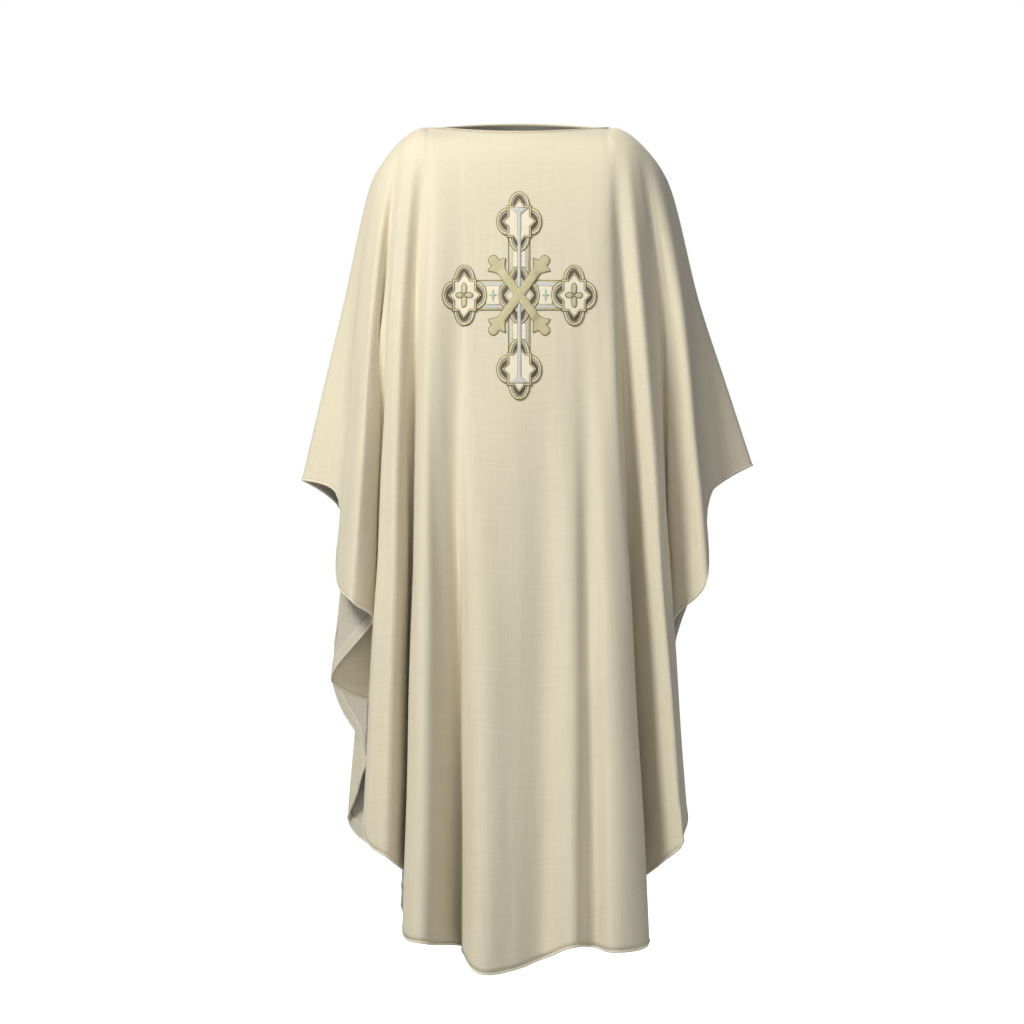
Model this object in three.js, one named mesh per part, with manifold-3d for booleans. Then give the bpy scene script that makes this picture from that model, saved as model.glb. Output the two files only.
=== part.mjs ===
// A chasuble: a wide sleeveless church vestment, hung from its two shoulder seams in deep folds.
// Millimetres. +Z is up and the front faces -Y. The origin is the middle of the neck opening, level
// with the two points where the shoulder seams meet the neck.

import * as THREE from "three";
import { mergeVertices } from "three/addons/utils/BufferGeometryUtils.js";
import Module from "manifold-3d";

const wasm = await Module();
wasm.setup();

// ---------------------------------------------------------------- driving dimensions

const garmentLength = 1300; // neck level to the lowest point of the hem
const wingReach = 350; // centre line to the lower corner of a wing
const hemDepth = 226; // centre plane to the foremost fold at the hem
const chestDepth = 150; // centre plane to the cloth over the chest
const neckHalfWidth = 141; // centre line to the neck end of a shoulder seam
const neckDepth = 72; // centre plane to the middle of the front or back neckline
const frontNeckDip = 14; // how far the front neckline sags below the seam ends
const backNeckRise = 14; // how far the back neckline stands above them
const shoulderReach = 207; // centre line to where the seam turns down over the shoulder
const shoulderFall = 48; // drop of the seam from the neck to that turn

const clothThickness = 2; // the cloth and its interlining
const facingWidth = 45; // neck facings, measured down the cloth
const facingThickness = 1;
const hemTapeWidth = 24; // hem tapes, measured up the cloth
const hemTapeThickness = 1;
const tapeWidth = 14; // shoulder tapes
const tapeThickness = 1.5;
const tapeSlack = 1; // how far the tapes hang below the cloth beside them
const clearance = 0.3; // between any two sewn pieces

const emblemDrop = 272; // neck level to the middle of the emblem
const appliqueThickness = 0.6; // each layer of the emblem
const medallionSide = 84; // emblem centre to the middle of a side medallion
const medallionTop = 114; // emblem centre to the middle of the top and bottom medallions
const frameHalfWidth = 18.5; // a medallion's inner rectangle
const frameHalfHeight = 24.5;
const lobeOut = 16; // how far a side lobe stands out of that rectangle
const lobeUp = 22; // how far a top or bottom lobe stands out
const lobeShare = 0.86; // width of a lobe as a share of the side that it stands on
const sidePoint = 8; // how far the star frame breaks out at the sides
const endPoint = 11; // and at the top and bottom
const starBand = 3; // width of the star frame
const borderWidth = 6; // gold border of a medallion
const uprightWidth = 33; // vertical arms of the cross
const crossbarWidth = 46; // horizontal arms
const ringHalfWidth = 31; // quatrefoil ring at the centre
const ringHalfHeight = 44;
const saltireAcross = 44; // emblem centre to the tip of a diagonal bar
const saltireUp = 60;
const saltireWidth = 13;
const staffWidth = 6;
const staffFoot = 30; // width of the splayed ends of the staff

const rowsDown = 9; // rows of facets between the neck facing and the hem tape
const facetsPerFold = 2; // columns of facets between a ridge and the next valley

// ---------------------------------------------------------------- how the cloth hangs

// Each fold line runs from the neckline or shoulder seam over the chest to the hem:
//   start: place along the top edge, 0 at the middle, 1 at the neck end of the seam, 2 at the shoulder
//   chest and hem: across as a share of wingReach, out as a share of chestDepth or hemDepth,
//   drop as a share of garmentLength. Ridges and valleys take turns across the panel.
const sideChest = 0.212;
const midChest = 0.324;
const frontFolds = [
  { start: -2.0, chest: [-0.786, 0.0, sideChest], hem: [-0.974, 0.0, 0.426] },
  { start: -1.88, chest: [-0.738, 0.187, sideChest], hem: [-0.82, 0.115, 0.44] },
  { start: -1.74, chest: [-0.69, 0.453, sideChest], hem: [-0.802, 0.381, 0.548] },
  { start: -1.62, chest: [-0.644, 0.613, sideChest], hem: [-0.73, 0.602, 0.571] },
  { start: -1.5, chest: [-0.604, 0.48, sideChest], hem: [-0.654, 0.372, 0.595] },
  { start: -1.4, chest: [-0.591, 0.56, sideChest], hem: [-0.836, 0.212, 0.667] },
  { start: -1.3, chest: [-0.573, 0.64, sideChest], hem: [-0.614, 0.035, 0.707] },
  { start: -1.16, chest: [-0.533, 0.787, sideChest], hem: [-0.623, 0.788, 0.862] },
  { start: -1.0, chest: [-0.458, 0.68, sideChest], hem: [-0.477, 0.204, 0.911] },
  { start: -0.93, chest: [-0.423, 0.807, sideChest], hem: [-0.501, 0.841, 0.96] },
  { start: -0.82, chest: [-0.39, 0.933, sideChest], hem: [-0.418, 0.965, 0.965] },
  { start: -0.6, chest: [-0.271, 0.947, midChest], hem: [-0.251, 0.442, 0.98] },
  { start: -0.5, chest: [-0.232, 0.993, midChest], hem: [-0.236, 0.841, 0.986] },
  { start: -0.32, chest: [-0.158, 1.02, midChest], hem: [-0.156, 1.0, 1.0] },
  { start: -0.05, chest: [-0.017, 1.02, midChest], hem: [-0.023, 0.938, 0.997] },
  { start: 0.16, chest: [0.112, 1.0, midChest], hem: [0.106, 0.823, 0.986] },
  { start: 0.36, chest: [0.231, 0.993, midChest], hem: [0.233, 0.956, 0.97] },
  { start: 0.5, chest: [0.293, 0.96, midChest], hem: [0.307, 0.823, 0.972] },
  { start: 0.68, chest: [0.361, 0.967, midChest], hem: [0.405, 0.982, 0.975] },
  { start: 0.88, chest: [0.407, 0.853, sideChest], hem: [0.553, 0.832, 0.971] },
  { start: 1.0, chest: [0.455, 0.68, sideChest], hem: [0.507, 0.195, 0.919] },
  { start: 1.16, chest: [0.53, 0.773, sideChest], hem: [0.713, 0.726, 0.851] },
  { start: 1.3, chest: [0.581, 0.627, sideChest], hem: [0.73, 0.398, 0.803] },
  { start: 1.45, chest: [0.622, 0.44, sideChest], hem: [0.668, 0.088, 0.692] },
  { start: 1.58, chest: [0.658, 0.467, sideChest], hem: [0.697, 0.257, 0.591] },
  { start: 1.72, chest: [0.712, 0.507, sideChest], hem: [0.82, 0.504, 0.55] },
  { start: 1.86, chest: [0.765, 0.2, sideChest], hem: [0.863, 0.115, 0.438] },
  { start: 2.0, chest: [0.81, 0.0, sideChest], hem: [1.048, 0.0, 0.408] },
];
const backFolds = [
  { start: -2.0, chest: [-0.786, 0.0, sideChest], hem: [-0.974, 0.0, 0.426] },
  { start: -1.86, chest: [-0.75, 0.24, sideChest], hem: [-0.808, 0.159, 0.461] },
  { start: -1.72, chest: [-0.704, 0.44, sideChest], hem: [-0.805, 0.336, 0.571] },
  { start: -1.58, chest: [-0.654, 0.613, sideChest], hem: [-0.857, 0.558, 0.679] },
  { start: -1.44, chest: [-0.624, 0.6, sideChest], hem: [-0.691, 0.23, 0.765] },
  { start: -1.25, chest: [-0.606, 0.72, sideChest], hem: [-0.775, 0.496, 0.852] },
  { start: -1.0, chest: [-0.473, 0.733, sideChest], hem: [-0.546, 0.301, 0.897] },
  { start: -0.84, chest: [-0.404, 0.927, sideChest], hem: [-0.529, 0.903, 0.971] },
  { start: -0.55, chest: [-0.282, 0.98, midChest], hem: [-0.323, 0.619, 0.973] },
  { start: -0.25, chest: [-0.136, 1.0, midChest], hem: [-0.155, 0.96, 0.993] },
  { start: 0.05, chest: [0.031, 1.0, midChest], hem: [0.031, 0.664, 0.988] },
  { start: 0.35, chest: [0.18, 1.0, midChest], hem: [0.201, 0.96, 0.99] },
  { start: 0.62, chest: [0.314, 0.973, midChest], hem: [0.344, 0.602, 0.971] },
  { start: 0.84, chest: [0.406, 0.927, sideChest], hem: [0.519, 0.881, 0.967] },
  { start: 1.0, chest: [0.475, 0.733, sideChest], hem: [0.547, 0.301, 0.889] },
  { start: 1.25, chest: [0.582, 0.733, sideChest], hem: [0.695, 0.602, 0.836] },
  { start: 1.5, chest: [0.634, 0.54, sideChest], hem: [0.627, 0.199, 0.705] },
  { start: 1.7, chest: [0.71, 0.5, sideChest], hem: [0.788, 0.46, 0.561] },
  { start: 1.86, chest: [0.772, 0.24, sideChest], hem: [0.849, 0.181, 0.446] },
  { start: 2.0, chest: [0.81, 0.0, sideChest], hem: [1.048, 0.0, 0.408] },
];
// Just below the top edge the cloth turns over the shoulders: this share of the way across to the
// chest, this share of chestDepth out in the middle of the panel, and this share of garmentLength down.
const turnAcross = 0.33;
const turnOut = 0.66;
const turnDrop = 0.026;
const neckRoundness = 0.7; // 0.5 makes the neck opening an ellipse, 1 a pointed lens

const lerp = THREE.MathUtils.lerp;

// A point of the top edge: the neckline, then the seam out to the shoulder. facing is -1 or +1.
function topEdge(start, facing) {
  const side = Math.sign(start);
  const along = Math.abs(start);
  if (along <= 1) {
    const round = 1 - along * along;
    const lift = facing < 0 ? -frontNeckDip : backNeckRise;
    const out = facing * neckDepth * round ** neckRoundness;
    return new THREE.Vector3(neckHalfWidth * start, out, lift * round);
  }
  const out = along - 1;
  const across = side * lerp(neckHalfWidth, shoulderReach, out);
  return new THREE.Vector3(across, 0, -shoulderFall * out * out);
}

// The curve of one fold line, sampled evenly enough to measure lengths along it.
function foldLine(fold, facing) {
  const top = topEdge(fold.start, facing);
  const [chestAcross, chestOut, chestDrop] = fold.chest;
  const [hemAcross, hemOut, hemDrop] = fold.hem;
  const chest = new THREE.Vector3(
    chestAcross * wingReach, facing * chestOut * chestDepth, -chestDrop * garmentLength);
  const hem = new THREE.Vector3(
    hemAcross * wingReach, facing * hemOut * hemDepth, -hemDrop * garmentLength);
  const turn = new THREE.Vector3(
    lerp(top.x, chest.x, turnAcross),
    facing * chestDepth * turnOut * Math.sqrt(1 - (fold.start / 2) ** 2),
    top.z - turnDrop * garmentLength);
  const middle = chest.clone().lerp(hem, 0.5);
  // The cloth crosses a seam level, runs on along the wing's edge, and hangs free at the neckline.
  let before = top.clone().multiplyScalar(2).sub(turn);
  if (Math.abs(fold.start) === 2) before = topEdge(fold.start * 0.8, facing);
  else if (Math.abs(fold.start) > 1) before = turn.clone().multiply(new THREE.Vector3(1, -1, 1));
  const curve = new THREE.CatmullRomCurve3([before, top, turn, chest, middle, hem]);
  const steps = 100;
  const points = [];
  for (let i = 0; i <= steps; i++) points.push(curve.getPoint(lerp(0.2, 1, i / steps)));
  const lengths = [0];
  for (let i = 1; i <= steps; i++) lengths.push(lengths[i - 1] + points[i].distanceTo(points[i - 1]));
  return { points, lengths, total: lengths[steps] };
}

// The point a given length down a fold line.
function pointDown(line, length) {
  let i = 1;
  while (i < line.lengths.length - 1 && line.lengths[i] < length) i++;
  const step = line.lengths[i] - line.lengths[i - 1];
  return line.points[i - 1].clone().lerp(line.points[i], (length - line.lengths[i - 1]) / step);
}

// Lengths down a fold line where rows of facets lie: the facing, the open cloth and the hem tape.
function rowLengths(total) {
  const rows = [0, facingWidth / 2, facingWidth];
  const open = total - facingWidth - hemTapeWidth;
  for (let i = 1; i <= rowsDown; i++) rows.push(facingWidth + (open * i) / rowsDown);
  rows.push(total);
  return rows;
}

// The middle surface of a panel as rows of points and outward normals.
function drape(folds, facing) {
  const lines = folds.map((fold) => foldLine(fold, facing));
  const rows = [];
  const rowCount = rowLengths(1).length;
  for (let r = 0; r < rowCount; r++) {
    const across = lines.map((line) => pointDown(line, rowLengths(line.total)[r]));
    const mirror = new THREE.Vector3(1, -1, 1);
    const first = across[1].clone().multiply(mirror);
    const last = across[across.length - 2].clone().multiply(mirror);
    const curve = new THREE.CatmullRomCurve3([first, ...across, last]);
    const spans = across.length - 1;
    const row = [];
    for (let i = 0; i <= spans * facetsPerFold; i++) {
      const between = i / facetsPerFold;
      if (r > 0) row.push(curve.getPoint((1 + between) / (spans + 2)));
      else row.push(topEdge(startAt(folds, between), facing));
    }
    rows.push(row);
  }
  const seamShift = (facing * clearance) / 2;
  for (const point of rows.flat()) point.y += seamShift;
  return { rows, normals: gridNormals(rows, facing), facing };
}

function startAt(folds, between) {
  const i = Math.min(Math.floor(between), folds.length - 2);
  return lerp(folds[i].start, folds[i + 1].start, between - i);
}

// Along a seam the normals stay in the seam's own plane, so that the two panels meet edge to edge.
function gridNormals(rows, facing) {
  return rows.map((row, r) => row.map((point, i) => {
    const above = rows[Math.max(r - 1, 0)][i];
    const below = rows[Math.min(r + 1, rows.length - 1)][i];
    const left = row[Math.max(i - 1, 0)];
    const right = row[Math.min(i + 1, row.length - 1)];
    const down = below.clone().sub(above);
    const side = right.clone().sub(left);
    const normal = down.cross(side).multiplyScalar(-facing);
    if (Math.abs(point.y) < clearance) normal.y = 0;
    return normal.normalize();
  }));
}

// ---------------------------------------------------------------- solids

// A closed shell between two offsets of part of a drape: rows r0 to r1, columns c0 to c1.
function shell(surface, [r0, r1], [c0, c1], inner, outer) {
  const { rows, normals, facing } = surface;
  const offset = (r, c, by) => normals[r][c].clone().multiplyScalar(by).add(rows[r][c]);
  const positions = [];
  const face = (a, b, c) => {
    const corners = facing < 0 ? [a, b, c] : [a, c, b];
    for (const corner of corners) positions.push(...corner.toArray());
  };
  const quad = (a, b, c, d) => {
    face(a, b, c);
    face(a, c, d);
  };
  for (let r = r0; r < r1; r++) {
    for (let c = c0; c < c1; c++) {
      quad(offset(r, c, outer), offset(r + 1, c, outer),
        offset(r + 1, c + 1, outer), offset(r, c + 1, outer));
      quad(offset(r, c, inner), offset(r, c + 1, inner),
        offset(r + 1, c + 1, inner), offset(r + 1, c, inner));
    }
  }
  for (let r = r0; r < r1; r++) {
    quad(offset(r, c0, outer), offset(r, c0, inner),
      offset(r + 1, c0, inner), offset(r + 1, c0, outer));
    quad(offset(r, c1, inner), offset(r, c1, outer),
      offset(r + 1, c1, outer), offset(r + 1, c1, inner));
  }
  for (let c = c0; c < c1; c++) {
    quad(offset(r0, c, inner), offset(r0, c, outer),
      offset(r0, c + 1, outer), offset(r0, c + 1, inner));
    quad(offset(r1, c, outer), offset(r1, c, inner),
      offset(r1, c + 1, inner), offset(r1, c + 1, outer));
  }
  const geometry = new THREE.BufferGeometry();
  geometry.setAttribute("position", new THREE.Float32BufferAttribute(positions, 3));
  return geometry;
}

function solid(geometry) {
  const bare = geometry.clone();
  bare.deleteAttribute("normal");
  bare.deleteAttribute("uv");
  const merged = mergeVertices(bare, 1e-4);
  return new wasm.Manifold(new wasm.Mesh({
    numProp: 3,
    vertProperties: merged.attributes.position.array,
    triVerts: new Uint32Array(merged.index.array),
  }));
}

function geometryOf(manifold) {
  const mesh = manifold.getMesh();
  const geometry = new THREE.BufferGeometry();
  geometry.setAttribute("position", new THREE.BufferAttribute(mesh.vertProperties, 3));
  geometry.setIndex(new THREE.BufferAttribute(mesh.triVerts, 1));
  return geometry;
}

// ---------------------------------------------------------------- the garment

const chasuble = new THREE.Group();

function add(name, geometry, color, roughness = 0.9, metalness = 0, parent = chasuble) {
  const material = new THREE.MeshStandardMaterial({ color, roughness, metalness });
  const mesh = new THREE.Mesh(geometry, material);
  mesh.name = name;
  parent.add(mesh);
  return mesh;
}

const clothColor = 0xd9cfb4;
const insideColor = 0xc4bbaa;
const tapeColor = 0xe6dec8;

const front = drape(frontFolds, -1);
const back = drape(backFolds, 1);
const half = clothThickness / 2;

function panelAndFacings(side, surface, folds) {
  const lastRow = surface.rows.length - 1;
  const lastColumn = surface.rows[0].length - 1;
  add(`${side}_panel`, shell(surface, [0, lastRow], [0, lastColumn], -half, half), clothColor);
  const neckEnd = (sign) => folds.findIndex((fold) => fold.start === sign) * facetsPerFold;
  const facingOuter = -half - clearance;
  add(`${side}_neck_facing`, shell(surface, [0, 2], [neckEnd(-1), neckEnd(1)],
    facingOuter - facingThickness, facingOuter), insideColor);
  add(`${side}_hem_tape`, shell(surface, [lastRow - 1, lastRow], [0, lastColumn],
    facingOuter - hemTapeThickness, facingOuter), tapeColor);
}
panelAndFacings("front", front, frontFolds);
panelAndFacings("back", back, backFolds);

// A flat stay tape under each shoulder seam, straight from near the neck to near the shoulder. Its
// plane lies just below the lowest cloth over it, which is at its front and back edges.
const tapeSpan = [1.12, 1.72];
function shoulderTape(name, sign) {
  const [inner, outer] = tapeSpan.map((start) => topEdge(sign * start, -1));
  const slope = Math.atan2(inner.z - outer.z, Math.abs(outer.x - inner.x));
  const up = new THREE.Vector3(sign * Math.sin(slope), 0, Math.cos(slope));
  let lowest = 0;
  for (const { rows, normals } of [front, back]) {
    for (let i = 0; i < rows[0].length; i++) {
      const under = [0, 1].map((r) => normals[r][i].clone().multiplyScalar(-half).add(rows[r][i]));
      const beside = Math.min(tapeWidth / 2 / Math.abs(under[1].y), 1);
      const edge = under[0].lerp(under[1], beside);
      const along = (edge.x - inner.x) / (outer.x - inner.x);
      if (along > -0.2 && along < 1.2) lowest = Math.min(lowest, edge.sub(inner).dot(up));
    }
  }
  const box = new THREE.BoxGeometry(inner.distanceTo(outer), tapeWidth, tapeThickness);
  const mesh = add(name, box, tapeColor);
  mesh.position.copy(inner).lerp(outer, 0.5);
  mesh.rotation.y = sign * slope;
  mesh.translateZ(lowest - tapeSlack - tapeThickness / 2);
}
shoulderTape("left_shoulder_tape", -1);
shoulderTape("right_shoulder_tape", 1);

// ---------------------------------------------------------------- the emblem

// Drawn in its own plane: x across, y up, z out of the chest. Layers are stacked from the back.
const emblem = new THREE.Group();
const layerStep = appliqueThickness + clearance;
const gold = 0xc6b586;
const paleGold = 0xd8caa0;
const darkOlive = 0x6f6548;
const paleGrey = 0xc9c9c0;
const cream = 0xe2dabd;
const mint = 0xa9c0a4;
const lobeSegments = 4;

function plate(shape, layer) {
  const geometry = new THREE.ExtrudeGeometry(shape, {
    depth: appliqueThickness,
    bevelEnabled: false,
    curveSegments: lobeSegments,
  });
  return geometry.translate(0, 0, layer * layerStep);
}

function rectangle(width, height, x = 0, y = 0) {
  const shape = new THREE.Shape();
  shape.moveTo(x - width / 2, y - height / 2);
  shape.lineTo(x + width / 2, y - height / 2);
  shape.lineTo(x + width / 2, y + height / 2);
  shape.lineTo(x - width / 2, y + height / 2);
  return shape;
}

// Four round lobes on the sides of a rectangle. inset draws the same outline smaller.
function quatrefoil(halfWidth, halfHeight, out, up, inset = 0) {
  const shape = new THREE.Shape();
  const w = halfWidth - inset;
  const h = halfHeight - inset;
  const lobeWidth = halfWidth * lobeShare - inset;
  const lobeHeight = halfHeight * lobeShare - inset;
  shape.moveTo(w, -h);
  shape.absellipse(w, 0, out, lobeHeight, -Math.PI / 2, Math.PI / 2, false);
  shape.lineTo(w, h);
  shape.absellipse(0, h, lobeWidth, up, 0, Math.PI, false);
  shape.lineTo(-w, h);
  shape.absellipse(-w, 0, out, lobeHeight, Math.PI / 2, (3 * Math.PI) / 2, false);
  shape.lineTo(-w, -h);
  shape.absellipse(0, -h, lobeWidth, up, Math.PI, 2 * Math.PI, false);
  return shape;
}

// An upright rectangle whose sides break out into a point in the middle.
function star(width, height) {
  const shape = new THREE.Shape();
  shape.moveTo(width, -height);
  shape.lineTo(width, -sidePoint);
  shape.lineTo(width + sidePoint, 0);
  shape.lineTo(width, sidePoint);
  shape.lineTo(width, height);
  shape.lineTo(endPoint * 0.8, height);
  shape.lineTo(0, height + endPoint);
  shape.lineTo(-endPoint * 0.8, height);
  shape.lineTo(-width, height);
  shape.lineTo(-width, sidePoint);
  shape.lineTo(-width - sidePoint, 0);
  shape.lineTo(-width, -sidePoint);
  shape.lineTo(-width, -height);
  shape.lineTo(-endPoint * 0.8, -height);
  shape.lineTo(0, -height - endPoint);
  shape.lineTo(endPoint * 0.8, -height);
  return shape;
}

function holed(outer, hole) {
  outer.holes.push(hole);
  return outer;
}

const centreWaist = [ringHalfWidth * 0.55, ringHalfHeight * 0.55];
const medallions = {
  top: [0, medallionTop],
  bottom: [0, -medallionTop],
  left: [-medallionSide, 0],
  right: [medallionSide, 0],
};

// The whole outline of the cross, drawn in by inset.
function crossPlate(layer, inset) {
  const pieces = [
    plate(rectangle(uprightWidth - 2 * inset, 2 * medallionTop), layer),
    plate(rectangle(2 * medallionSide, crossbarWidth - 2 * inset), layer),
    plate(quatrefoil(...centreWaist, ringHalfWidth - centreWaist[0], ringHalfHeight - centreWaist[1],
      inset), layer),
  ];
  for (const [x, y] of Object.values(medallions)) {
    const lobed = quatrefoil(frameHalfWidth, frameHalfHeight, lobeOut, lobeUp, inset);
    pieces.push(plate(lobed, layer).translate(x, y, 0));
  }
  return geometryOf(pieces.map(solid).reduce((all, piece) => all.add(piece)));
}

add("emblem_backing", crossPlate(0, 1.5), cream, 0.9, 0, emblem);
add("cross_ground", crossPlate(1, 0), darkOlive, 0.7, 0.1, emblem);

for (const [name, [x, y]] of Object.entries(medallions)) {
  const border = holed(
    quatrefoil(frameHalfWidth, frameHalfHeight, lobeOut, lobeUp),
    quatrefoil(frameHalfWidth, frameHalfHeight, lobeOut - borderWidth / 2, lobeUp - borderWidth / 2,
      borderWidth / 2));
  add(`${name}_medallion_frame`, plate(border, 2).translate(x, y, 0), gold, 0.5, 0.3, emblem);
  const points = holed(
    star(frameHalfWidth, frameHalfHeight),
    star(frameHalfWidth - starBand, frameHalfHeight - starBand));
  add(`${name}_star_frame`, plate(points, 3).translate(x, y, 0), paleGold, 0.5, 0.3, emblem);
}

// Four petals, in the side medallions.
const petalReach = 16;
const petalWidth = 8;
function rosette() {
  const petals = [];
  for (let i = 0; i < 4; i++) {
    const shape = new THREE.Shape();
    shape.absellipse(0, petalReach / 2, petalWidth / 2, petalReach / 2, 0, 2 * Math.PI);
    petals.push(solid(plate(shape, 2).rotateZ((i * Math.PI) / 2)));
  }
  return geometryOf(petals.reduce((all, piece) => all.add(piece)));
}
add("left_rosette", rosette().translate(-medallionSide, 0, 0), gold, 0.5, 0.3, emblem);
add("right_rosette", rosette().translate(medallionSide, 0, 0), gold, 0.5, 0.3, emblem);

// Pale windows in the four arms, between the centre ring and the medallions.
const windowMargin = 6;
const lobedHeight = frameHalfHeight + lobeUp;
const lobedWidth = frameHalfWidth + lobeOut;
const upperMiddle = (ringHalfHeight + medallionTop - lobedHeight) / 2;
const sideMiddle = (ringHalfWidth + medallionSide - lobedWidth) / 2;
const upperSpan = medallionTop - lobedHeight - ringHalfHeight - 2;
const sideSpan = medallionSide - lobedWidth - ringHalfWidth - 2;
const uprightWindow = rectangle(uprightWidth - 2 * windowMargin, upperSpan);
const sideWindow = rectangle(sideSpan, crossbarWidth - 2 * windowMargin);
add("upper_arm_window", plate(uprightWindow, 2).translate(0, upperMiddle, 0), cream, 0.8, 0, emblem);
add("lower_arm_window", plate(uprightWindow, 2).translate(0, -upperMiddle, 0), cream, 0.8, 0, emblem);
add("left_arm_window", plate(sideWindow, 2).translate(-sideMiddle, 0, 0), cream, 0.8, 0, emblem);
add("right_arm_window", plate(sideWindow, 2).translate(sideMiddle, 0, 0), cream, 0.8, 0, emblem);

// Small plus crosses on the side windows.
const crossletWidth = Math.min(13, sideSpan - 2);
const crossletHeight = 21;
const crossletArm = 4;
function crosslet() {
  const upright = solid(plate(rectangle(crossletArm, crossletHeight), 3));
  const bar = solid(plate(rectangle(crossletWidth, crossletArm), 3));
  return geometryOf(upright.add(bar));
}
add("left_small_cross", crosslet().translate(-sideMiddle, 0, 0), mint, 0.7, 0, emblem);
add("right_small_cross", crosslet().translate(sideMiddle, 0, 0), mint, 0.7, 0, emblem);

const ringBand = 5;
const ring = holed(
  quatrefoil(...centreWaist, ringHalfWidth - centreWaist[0], ringHalfHeight - centreWaist[1]),
  quatrefoil(...centreWaist, ringHalfWidth - centreWaist[0] - ringBand / 2,
    ringHalfHeight - centreWaist[1] - ringBand / 2, ringBand / 2));
add("centre_ring", plate(ring, 2), gold, 0.5, 0.3, emblem);

const lozenge = new THREE.Shape();
const lozengeHalfWidth = 22.5;
const lozengeHalfHeight = 31;
lozenge.moveTo(lozengeHalfWidth, 0);
lozenge.lineTo(0, lozengeHalfHeight);
lozenge.lineTo(-lozengeHalfWidth, 0);
lozenge.lineTo(0, -lozengeHalfHeight);
add("centre_lozenge", plate(lozenge, 2), cream, 0.8, 0, emblem);

// One bar of the saltire along +x, ending in three leaves.
function leafBar(length, width) {
  const shape = new THREE.Shape();
  const h = width / 2;
  shape.moveTo(0, -h);
  shape.lineTo(length * 0.6, -h);
  shape.quadraticCurveTo(length * 0.68, -h * 1.3, length * 0.78, -h * 2.6);
  shape.quadraticCurveTo(length * 0.83, -h * 1.9, length * 0.82, -h * 1.1);
  shape.quadraticCurveTo(length * 1.0, -h * 1.5, length, 0);
  shape.quadraticCurveTo(length * 1.0, h * 1.5, length * 0.82, h * 1.1);
  shape.quadraticCurveTo(length * 0.83, h * 1.9, length * 0.78, h * 2.6);
  shape.quadraticCurveTo(length * 0.68, h * 1.3, length * 0.6, h);
  shape.lineTo(0, h);
  return shape;
}
const barLength = Math.hypot(saltireAcross, saltireUp);
const barAngle = Math.atan2(saltireUp, saltireAcross);
const bars = [barAngle, Math.PI - barAngle, Math.PI + barAngle, -barAngle].map(
  (angle) => solid(plate(leafBar(barLength, saltireWidth), 5).rotateZ(angle)));
add("saltire", geometryOf(bars.reduce((all, piece) => all.add(piece))), gold, 0.5, 0.3, emblem);

// The staff runs from medallion to medallion under the saltire, splayed at both ends.
const staff = new THREE.Shape();
const staffEnd = medallionTop + frameHalfHeight - starBand;
const splay = 10;
const s = staffWidth / 2;
staff.moveTo(-staffFoot / 2, -staffEnd);
staff.lineTo(staffFoot / 2, -staffEnd);
staff.lineTo(s, -staffEnd + splay);
staff.lineTo(s, staffEnd - splay);
staff.lineTo(staffFoot / 2, staffEnd);
staff.lineTo(-staffFoot / 2, staffEnd);
staff.lineTo(-s, staffEnd - splay);
staff.lineTo(-s, -staffEnd + splay);
add("staff", plate(staff, 4), paleGrey, 0.6, 0.2, emblem);

// The emblem stands against the chest: parallel to the cloth there, and just clear of it.
const emblemHalfWidth = medallionSide + lobedWidth;
const emblemHalfHeight = medallionTop + lobedHeight;
function chestAt(x, z) {
  let nearest = null;
  let best = Infinity;
  for (const point of front.rows.flat()) {
    const away = Math.hypot(point.x - x, point.z - z);
    if (away < best) {
      best = away;
      nearest = point;
    }
  }
  return nearest;
}
const upperChest = chestAt(0, -emblemDrop + emblemHalfHeight);
const lowerChest = chestAt(0, -emblemDrop - emblemHalfHeight);
const lean = Math.atan2(upperChest.y - lowerChest.y, upperChest.z - lowerChest.z);
emblem.rotation.set(Math.PI / 2 - lean, 0, 0);
emblem.position.set(0, 0, -emblemDrop);
emblem.updateMatrixWorld(true);
const outwards = new THREE.Vector3(0, 0, 1).transformDirection(emblem.matrixWorld);
const cloudAcross = emblemHalfWidth + 30; // a little more than the emblem, to take in whole facets
const cloudUp = emblemHalfHeight + 60;
const clothPoints = front.rows.flatMap((row, r) => row.map((point, i) => (
  front.normals[r][i].clone().multiplyScalar(half).add(point))));
const underEmblem = clothPoints.filter((point) => (
  Math.abs(point.x) < cloudAcross && Math.abs(point.z + emblemDrop) < cloudUp));
const heights = underEmblem.map((point) => point.clone().sub(emblem.position).dot(outwards));
const stand = Math.max(...heights);
emblem.position.addScaledVector(outwards, stand + clearance);
chasuble.add(emblem);

export default chasuble;
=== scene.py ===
import math

import bpy
import numpy as np
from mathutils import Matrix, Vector, geometry
from mathutils.bvhtree import BVHTree


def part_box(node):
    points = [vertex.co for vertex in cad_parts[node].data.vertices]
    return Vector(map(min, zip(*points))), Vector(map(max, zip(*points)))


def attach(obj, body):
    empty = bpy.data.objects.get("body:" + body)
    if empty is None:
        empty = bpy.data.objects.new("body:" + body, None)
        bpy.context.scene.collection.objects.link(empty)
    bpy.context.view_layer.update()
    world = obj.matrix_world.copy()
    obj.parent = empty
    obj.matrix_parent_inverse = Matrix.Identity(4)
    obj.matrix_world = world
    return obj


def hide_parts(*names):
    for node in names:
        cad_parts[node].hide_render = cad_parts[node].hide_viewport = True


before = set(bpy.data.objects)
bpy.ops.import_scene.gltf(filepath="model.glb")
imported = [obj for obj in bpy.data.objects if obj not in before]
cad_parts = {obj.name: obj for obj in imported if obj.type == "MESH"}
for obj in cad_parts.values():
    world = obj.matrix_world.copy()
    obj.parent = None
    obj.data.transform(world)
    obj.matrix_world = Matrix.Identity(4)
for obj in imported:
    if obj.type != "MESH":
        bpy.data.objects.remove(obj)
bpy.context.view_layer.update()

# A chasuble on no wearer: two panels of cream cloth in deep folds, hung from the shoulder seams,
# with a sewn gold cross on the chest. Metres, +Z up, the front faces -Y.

BODY = "root"

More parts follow.
